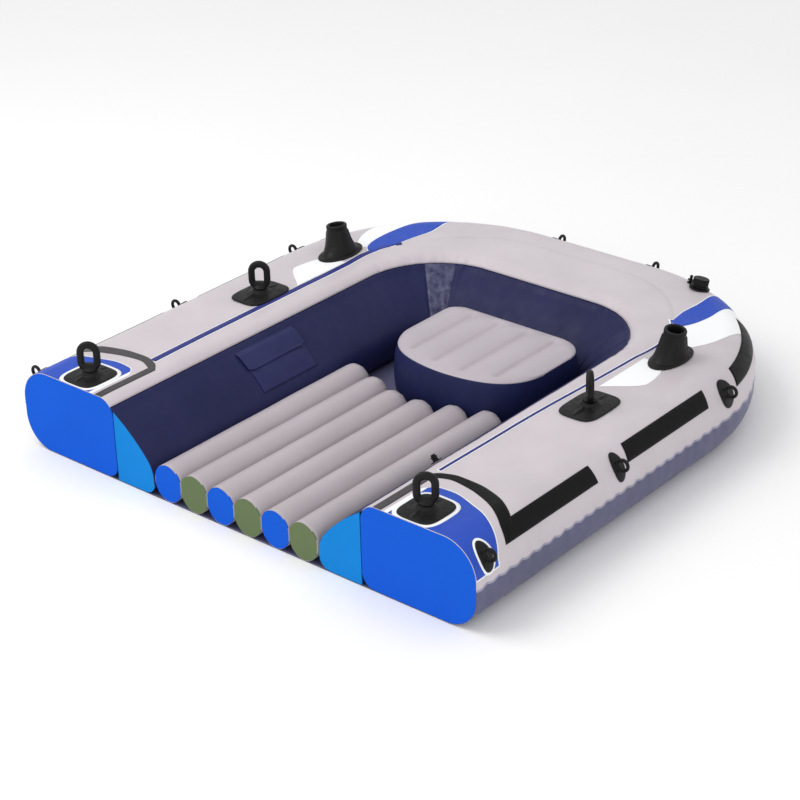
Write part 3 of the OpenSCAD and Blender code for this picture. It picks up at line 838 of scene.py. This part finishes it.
def build_seat():
    low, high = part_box("seat_side")
    centre_x = (low.x + high.x) / 2
    half_w = (high.x - low.x) / 2 - 0.006
    deep = high.y - low.y - 0.010
    start_y = high.y - 0.005 - deep
    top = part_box("seat_top_panel")[1].z - 0.008
    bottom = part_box("seat_bottom_panel")[0].z + 0.001
    across, rows, wall_rows = 84, 54, 14
    columns = []
    for i in range(across + 1):
        even = 2 * i / across - 1
        columns.append(half_w * (0.35 * sin(pi / 2 * even) + 0.65 * even))
    work = bmesh.new()
    grids = ([], [])
    for x in columns:
        front, rear = seat_edges(x, half_w, deep)
        upper, lower = [], []
        for j in range(rows + 1):
            y = front + (rear - front) * j / rows
            rise = seat_crown(x, y, front, rear, half_w)
            upper.append(work.verts.new((centre_x + x, start_y + y, top + rise)))
            lower.append(work.verts.new((centre_x + x, start_y + y, bottom)))
        grids[0].append(upper)
        grids[1].append(lower)
    outline = [(i, 0) for i in range(across + 1)]
    outline += [(across, j) for j in range(1, rows + 1)]
    outline += [(i, rows) for i in range(across - 1, -1, -1)]
    outline += [(0, j) for j in range(rows - 1, 0, -1)]
    rim = [grids[0][i][j] for i, j in outline]
    foot = [grids[1][i][j] for i, j in outline]
    count = len(outline)
    rings = [rim]
    for k in range(1, wall_rows):
        share = k / wall_rows
        ring = []
        for m in range(count):
            along = (rim[(m + 1) % count].co - rim[m - 1].co).normalized()
            out = along.cross(UP)
            bulge = 0.011 * sin(pi * share) ** 0.7 - 0.0025 * hump(share, 0.03, 0.05)
            wrinkle = 0.0007 * noise.noise(Vector((m * 0.22, share * 2.2, 4)))
            place = rim[m].co.lerp(foot[m].co, share) + out * (bulge + wrinkle)
            ring.append(work.verts.new(place))
        rings.append(ring)
    rings.append(foot)
    for vertex in work.verts:
        height = (vertex.co.z - bottom) / (top - bottom)
        vertex.co.x += SEAT_LEAN * height * smooth(vertex.co.x - centre_x, -half_w, half_w)
    for index, grid in enumerate(grids):
        for i in range(across):
            for j in range(rows):
                face = work.faces.new((grid[i][j], grid[i + 1][j], grid[i + 1][j + 1], grid[i][j + 1]))
                face.material_index = index
    for a, b in zip(rings, rings[1:]):
        for k in range(count):
            face = work.faces.new((a[k], a[(k + 1) % count], b[(k + 1) % count], b[k]))
            face.material_index = 1
    bmesh.ops.recalc_face_normals(work, faces=work.faces)
    work.verts.index_update()
    held = {vertex.index: 1.0 for column in grids[1] for vertex in column}
    for i, x in enumerate(columns):
        for j in range(2, rows - 1):
            if min(abs(x - share * half_w) for share in SEAT_CHANNELS) < half_w * 0.02:
                held[grids[0][i][j].index] = 1.0
    for vertex in rim:
        held[vertex.index] = 0.6
    mesh = bpy.data.meshes.new("seat_cushion")
    work.to_mesh(mesh)
    work.free()
    mesh.materials.append(SEAT_GREY)
    mesh.materials.append(SEAT_NAVY)
    seat = add_object("seat_cushion", mesh, None, None)
    inflate(seat, held, SEAT_PRESSURE, SEAT_SWELL)
    for vertex in seat.data.vertices:
        vertex.co.z = max(vertex.co.z, bottom)
        vertex.co.y = min(vertex.co.y, high.y - 0.0002)
    rounder = seat.modifiers.new("rounder", "SUBSURF")
    rounder.levels = 1
    rounder.render_levels = 1
    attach(seat, "seat")
    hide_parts("seat_side", "seat_top_panel", "seat_bottom_panel")


def inflate(piece, held, pressure, cap):
    """Blows a closed piece up with Cloth, gravity off, and caps how far each point moves."""
    start = [v.co.copy() for v in piece.data.vertices]
    group = piece.vertex_groups.new(name="held")
    for index, weight in held.items():
        group.add([index], weight, "REPLACE")
    cloth = piece.modifiers.new("cloth", "CLOTH")
    settings = cloth.settings
    settings.quality = 7
    settings.mass = 0.3
    settings.tension_stiffness = 12
    settings.compression_stiffness = 12
    settings.shear_stiffness = 6
    settings.bending_stiffness = 0.4
    settings.use_pressure = True
    settings.uniform_pressure_force = pressure
    settings.effector_weights.gravity = 0
    settings.vertex_group_mass = "held"
    settings.pin_stiffness = 1.0
    cloth.point_cache.frame_start = 1
    cloth.point_cache.frame_end = SEAT_FRAMES
    for number in range(1, SEAT_FRAMES + 1):
        scene.frame_set(number)
    blown = piece.evaluated_get(bpy.context.evaluated_depsgraph_get())
    moved = [v.co.copy() for v in blown.data.vertices]
    piece.modifiers.remove(cloth)
    scene.frame_set(1)
    for vertex, a, b in zip(piece.data.vertices, start, moved):
        step = b - a
        if step.length > cap:
            step *= cap / step.length
        vertex.co = a + step


# ---------------- moulded fittings

def ring_points(place, side, up, r_side, r_up, count, power=1.0):
    """A closed outline about place; power below 1 makes it squarer, above 1 more like a diamond."""
    points = []
    for a in round_angles(count):
        x, y = bend(cos(a), power) * r_side, bend(sin(a), power) * r_up
        points.append(place + side * x + up * y)
    return points


def loft(work, rings, closed=False):
    """Skins through rings of equal size; closed joins the last to the first, else both ends are capped."""
    made = [[work.verts.new(p) for p in ring] for ring in rings]
    count = len(made[0])
    pairs = list(zip(made, made[1:]))
    if closed:
        pairs.append((made[-1], made[0]))
    for a, b in pairs:
        for k in range(count):
            work.faces.new((a[k], a[(k + 1) % count], b[(k + 1) % count], b[k]))
    if not closed:
        work.faces.new(made[0][::-1])
        work.faces.new(made[-1])


VOXEL = 0.0011
SOCKET_VOXEL = 0.0013


def fused(name, build, place, voxel, passes, body):
    """Makes one moulded solid: the parts are joined, re-meshed as one and smoothed, then put in place."""
    work = bmesh.new()
    build(work)
    bmesh.ops.recalc_face_normals(work, faces=work.faces)
    mesh = bpy.data.meshes.new(name)
    work.to_mesh(mesh)
    work.free()
    piece = add_object(name, mesh, RUBBER, None)
    remesh = piece.modifiers.new("remesh", "REMESH")
    remesh.mode = "VOXEL"
    remesh.voxel_size = voxel
    remesh.use_smooth_shade = True
    softer = piece.modifiers.new("softer", "SMOOTH")
    softer.factor = 0.5
    softer.iterations = passes
    ready = bpy.data.meshes.new_from_object(piece.evaluated_get(bpy.context.evaluated_depsgraph_get()))
    piece.modifiers.clear()
    piece.data = ready
    ready.transform(place)
    if not ready.materials:
        ready.materials.append(RUBBER)
    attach(piece, body)
    return piece


def oarlock_base(half_w, half_l):
    """Returns a builder for a base: a rounded pad that rises to a boss with a hole."""
    def build(work):
        count = 72
        pad = [(0.97, 0.0), (1.0, 0.0016), (0.985, 0.0034), (0.93, 0.0046), (0.76, 0.0054)]
        rings = [ring_points(UP * z, X, Y, half_w * r, half_l * r, count, 0.52) for r, z in pad]
        rings.append(ring_points(UP * 0.0062, X, Y, 0.029, 0.033, count, 0.9))
        boss = [(0.0215, 0.0095), (0.0195, 0.0142), (0.0178, 0.0158), (0.0085, 0.0161), (0.0074, 0.005)]
        rings += [ring_points(UP * z, X, Y, r, r, count) for r, z in boss]
        loft(work, rings)
        for turn in (-1, 1):
            rib = []
            for share, z, r in ((0.34, 0.006, 0.004), (0.6, 0.0052, 0.0036), (0.86, 0.0036, 0.003)):
                spot = Vector((0, turn * half_l * share, z))
                rib.append(ring_points(spot, X, UP, r * 1.6, r, 16))
            loft(work, rib)
    return build


def oarlock_ring(work):
    """An upright loop on a foot. Its plane is X and Z; the foot's underside is at z = 0."""
    half, top, low = 0.0195, 0.046, 0.0235
    path = [Vector((half * cos(a), 0, top + half * sin(a)))
            for a in [pi * i / 20 for i in range(21)]]
    path += [Vector((-half, 0, top - (top - low) * i / 6)) for i in range(1, 6)]
    path += [Vector((half * cos(a), 0, low + half * sin(a)))
             for a in [pi + pi * i / 20 for i in range(21)]]
    path += [Vector((half, 0, low + (top - low) * i / 6)) for i in range(1, 6)]
    rings = []
    count = len(path)
    for i, place in enumerate(path):
        along = (path[(i + 1) % count] - path[i - 1]).normalized()
        outward = along.cross(Y).normalized()
        rings.append(ring_points(place, outward, Y, 0.0085, 0.008, 20, 0.75))
    loft(work, rings, closed=True)
    foot = [(0.0165, 0.0, 1.0, 1.0), (0.017, 0.0015, 1.0, 1.0), (0.0168, 0.0048, 1.0, 1.0),
            (0.0155, 0.0068, 1.0, 0.85), (0.0175, 0.0100, 1.0, 0.55), (0.0225, 0.0150, 1.0, 0.34),
            (0.0225, 0.0180, 0.9, 0.3)]
    loft(work, [ring_points(UP * z, X, Y, r * a, r * b, 32) for r, z, a, b in foot])
    loft(work, [ring_points(UP * z, X, Y, 0.0068, 0.0068, 24) for z in (-0.0125, 0.002)])


def rod_socket(work):
    """A leaning cup with a flared skirt on a long flange; it leans to +X."""
    lean = Matrix.Rotation(radians(8), 3, "Y")
    count = 48
    flange = [(0.0405, 0.0735, 0.0), (0.042, 0.075, 0.0014), (0.0412, 0.0742, 0.0034),
              (0.038, 0.071, 0.0052), (0.034, 0.062, 0.0062)]
    loft(work, [ring_points(UP * z, X, Y, a, b, count) for a, b, z in flange])
    skirt = [(0.0375, 0.0640, 0.004), (0.0365, 0.0560, 0.009), (0.0350, 0.0470, 0.018),
             (0.0335, 0.0400, 0.029), (0.0315, 0.0345, 0.042), (0.0290, 0.0300, 0.056),
             (0.0270, 0.0272, 0.068), (0.0272, 0.0272, 0.0722), (0.0276, 0.0276, 0.0745),
             (0.0272, 0.0272, 0.0782), (0.0255, 0.0255, 0.0798), (0.0212, 0.0212, 0.0798),
             (0.0196, 0.0196, 0.0782), (0.0191, 0.0191, 0.0740), (0.0191, 0.0191, 0.0115)]
    loft(work, [[lean @ p for p in ring_points(UP * z, X, Y, a, b, count)] for a, b, z in skirt])
    for turn in (30, 150, 215, 325):
        a = radians(turn)
        rib = []
        for z, r in ((0.006, 0.052), (0.02, 0.042), (0.04, 0.0342), (0.064, 0.0281)):
            spot = Vector((cos(a) * min(r, 0.0375 - z * 0.14), sin(a) * r, z))
            rib.append([lean @ p for p in ring_points(spot, X, Y, 0.0021, 0.0021, 12)])
        loft(work, rib)


def oarlock_place(side, index):
    return next(j["pos_m"] for j in frame["joints"] if j["name"] == f"oarlock_swivel_{side}_{index}")


def build_oarlocks():
    gap = 0.0003
    for side in SIDES:
        for index in (1, 2):
            pivot = oarlock_place(side, index)
            place = Matrix.Translation(Vector(pivot))
            low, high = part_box(f"oarlock_base_{side}_{index}")
            shape = oarlock_base((high.x - low.x) / 2, (high.y - low.y) / 2)
            base = fused(f"oarlock_pad_{side}_{index}", shape, place, VOXEL, 4, "hull")
            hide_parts(f"oarlock_base_{side}_{index}")
            turn = -50 if (side, index) == ("starboard", 2) else 35
            lift = high.z - pivot[2] + gap
            spot = place @ Matrix.Translation(UP * lift) @ Matrix.Rotation(radians(turn), 4, "Z")
            ring = fused(f"oarlock_loop_{side}_{index}", oarlock_ring, spot, VOXEL, 5, f"ring_{side}_{index}")
            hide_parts(f"oarlock_ring_{side}_{index}")


def build_sockets():
    for side in SIDES:
        low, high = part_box(f"rod_socket_{side}")
        flange_half = 0.042
        x = high.x - flange_half if side == "port" else low.x + flange_half
        place = Matrix.Translation(Vector((x, (low.y + high.y) / 2, low.z)))
        if side == "port":
            place = place @ Matrix.Rotation(pi, 4, "Z")
        piece = fused(f"rod_cup_{side}", rod_socket, place, SOCKET_VOXEL, 4, "hull")
        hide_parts(f"rod_socket_{side}")


EYE_G = G_SHOULDER + SHOULDER_R * radians(60)
# half of an eye's oval pad, along the run and down the section, and the near eyes' run from the cut
EYE_HALF_S = 0.0195
EYE_HALF_G = 0.0365
EYE_NEAR = 0.045
# the pad's profile: the share of its outline and the height over the hull, from the edge in
EYE_PAD = ((0.94, -0.0004), (1.0, 0.0008), (0.985, 0.0022), (0.9, 0.0036), (0.7, 0.0043), (0.4, 0.0046),
           (0.12, 0.0047))


def rope_eye(s):
    """Returns a builder for one line eye at s: an oval pad that hugs the shoulder, and a loop."""
    def build(work):
        along = (on_hull(s + 0.004, EYE_G) - on_hull(s - 0.004, EYE_G)).normalized()
        down = (on_hull(s, EYE_G + 0.004) - on_hull(s, EYE_G - 0.004)).normalized()
        out = down.cross(along).normalized()
        if out.dot(on_hull(s, EYE_G, 0.01) - on_hull(s, EYE_G)) < 0:
            out = -out
        count = 48
        rings = []
        for share, lift in EYE_PAD:
            ring = []
            for a in round_angles(count):
                spot_s = s + EYE_HALF_S * share * cos(a)
                ring.append(on_hull(spot_s, EYE_G + EYE_HALF_G * share * sin(a), lift))
            rings.append(ring)
        loft(work, rings)
        middle = on_hull(s, EYE_G, 0.0152)
        loop_r, loop_steps = 0.0128, 40
        loop = []
        for a in round_angles(loop_steps):
            spot = middle + out * (loop_r * cos(a)) + down * (loop_r * sin(a))
            away = (spot - middle).normalized()
            loop.append(ring_points(spot, away, along, 0.0039, 0.0041, 16, 0.85))
        loft(work, loop, closed=True)
    return build


def build_eyes():
    corner_t = SIDE + CORNER_R * radians(4)
    places = {
        "rope_eyes_port": [EYE_NEAR, 0.515, corner_t],
        "rope_eyes_starboard": [TOTAL - EYE_NEAR, TOTAL - 0.515, TOTAL - corner_t],
        "rope_eyes_end": [TOTAL / 2 - 0.150, TOTAL / 2 + 0.150],
    }
    for node, spots in places.items():
        for number, s in enumerate(spots, 1):
            piece = fused(f"{node}_{number}_moulded", rope_eye(s), Matrix.Identity(4), VOXEL, 4, "hull")
            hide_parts(node)


def border(name, side, spot):
    """A white ring printed on the hull; spot(angle, outer) is its inner or outer (t, g) there."""
    columns = []
    for a in round_angles(72):
        column = []
        for outer in (False, True):
            t, g = spot(a, outer)
            column.append(on_hull(run_of(side, max(PRINT_START, t)), g, PRINT_LIFT * BORDER))
        columns.append(column)
    full = f"print_{name}_border_{side}"
    piece = add_object(full, mend(grid_mesh(full, columns + [columns[0]]), 1e-7), WHITE, "hull")
    turn_faces(piece, lambda c: UP)
    thicken(piece, PRINT_T)


def eye_spot(a, outer):
    share, grow = (1.0, 0.0055) if outer else (0.9, 0.0)
    return (EYE_NEAR + (EYE_HALF_S * share + grow) * cos(a),
            EYE_G + (EYE_HALF_G * share + grow) * sin(a))


def build_outlines():
    """White borders round the near fittings."""
    for side in SIDES:
        x, y, _ = oarlock_place(side, 1)
        pad_g = G_CROWN + (abs(x) - LINE_X) - U_IN

        def pad_spot(a, outer):
            r = 0.0605 if outer else 0.046
            return y + bend(sin(a), 0.6) * r * 1.08, pad_g + bend(cos(a), 0.6) * r

        border("pad", side, pad_spot)
        border("eye", side, eye_spot)


# ---------------- pouch

def wall_angle(g):
    place, _ = WALL.at(g)
    return degrees(atan2(place.y - WALL_AT.y, place.x - WALL_AT.x))


def wall_arc_g(angle):
    """g on the wall's upper arc at an angle about that arc's centre."""
    steps = 1200
    arc_share = 0.6
    runs = [i / steps * WALL.length * arc_share for i in range(steps)]
    return min(runs, key=lambda g: abs(wall_angle(g) - angle))


# the pouch's angles on the wall, in degrees
POUCH_TOP = 124.6
POUCH_FOOT = 139.4


def wall_sheet(name, node, top, foot, shape, thickness, body):
    """A sheet over a node on the wall, between two angles; shape(y, share_y, share_g) is (drop, lift)."""
    low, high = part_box(node)
    y0, y1 = low.y, high.y
    g0, g1 = wall_arc_g(top), wall_arc_g(foot)
    wide, tall = 36, 26
    columns = []
    for i in range(wide + 1):
        y = y0 + (y1 - y0) * i / wide
        column = []
        for j in range(tall + 1):
            drop, lift = shape(y, i / wide, j / tall)
            column.append(on_wall(y, g0 + (g1 - g0 - drop) * (j / tall), lift))
        columns.append(column)
    piece = add_object(name, grid_mesh(name, columns), POUCH, body)
    turn_faces(piece, to_cockpit)
    thicken(piece, thickness)
    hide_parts(node)


def build_pouch():
    low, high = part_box("storage_pouch")
    long, deep = high.y - low.y, wall_arc_g(POUCH_FOOT) - wall_arc_g(POUCH_TOP)

    def bag(y, share_y, share_g):
        edge = min(share_y, 1 - share_y) * long
        foot = min(share_g * 3, 1 - share_g) * deep
        puff = smooth(edge, 0.008, 0.04) * smooth(foot, 0.008, 0.035)
        weld = 0.0007 * smooth(edge, 0.0, 0.002) * smooth(foot, 0.0, 0.002)
        crumple = 0.0008 * noise.noise(Vector((share_y * 7, share_g * 5, 3)))
        return 0.0, 0.0016 + weld + (0.0021 + crumple) * puff

    def flap(y, share_y, share_g):
        side = min(share_y, 1 - share_y)
        drop = 0.006 * (1 - smooth(side, 0.0, 0.09)) * smooth(share_g, 0.75, 1.0)
        lift = 0.0016 + 0.0044 * smooth(share_g, 0.0, 0.25)
        lift += 0.0012 * noise.noise(Vector((y * 24, share_g * 4, 8))) * share_g
        return drop, lift + 0.0012 * hump(share_g, 0.96, 0.03)

    wall_sheet("storage_pouch_bag", "storage_pouch", POUCH_TOP, POUCH_FOOT, bag, 0.0012, "hull")
    wall_sheet("pouch_flap_sheet", "pouch_flap", 123.6, 131.5, flap, 0.0011, "flap")


# ---------------- CAD nodes that stay

def dress(node, material, bevel=0.0):
    """Gives a CAD node its material, and rounds its sharp edges by bevel."""
    piece = nodes[node]
    piece.data.materials.clear()
    piece.data.materials.append(material)
    if bevel:
        edge = piece.modifiers.new("edge", "BEVEL")
        edge.width = bevel
        edge.segments = 2
        edge.limit_method = "ANGLE"
        edge.angle_limit = radians(35)


def dress_nodes():
    faces = {
        "outer_section_port": (ROYAL, "section_blue"),
        "outer_section_starboard": (ROYAL, "section_blue"),
        "inner_section_port": (SKY, "section_sky"),
        "inner_section_starboard": (SKY, "section_sky"),
        "floor_sections_blue": (ROYAL, "section_blue"),
        "floor_sections_green": (OLIVE, "section_green"),
    }
    for node, (material, slot) in faces.items():
        dress(node, material)
    for node in ("seat_valve", "seat_valve_plug", "main_valve_base", "main_valve_tether", "main_valve_cap",
                 "inner_valve", "inner_valve_plug"):
        dress(node, RUBBER, 0.0004)


make_camera()
make_studio()
build_hull()
build_prints()
build_outlines()
build_wall()
build_floor()
build_seat()
build_pouch()
build_oarlocks()
build_sockets()
build_eyes()
dress_nodes()
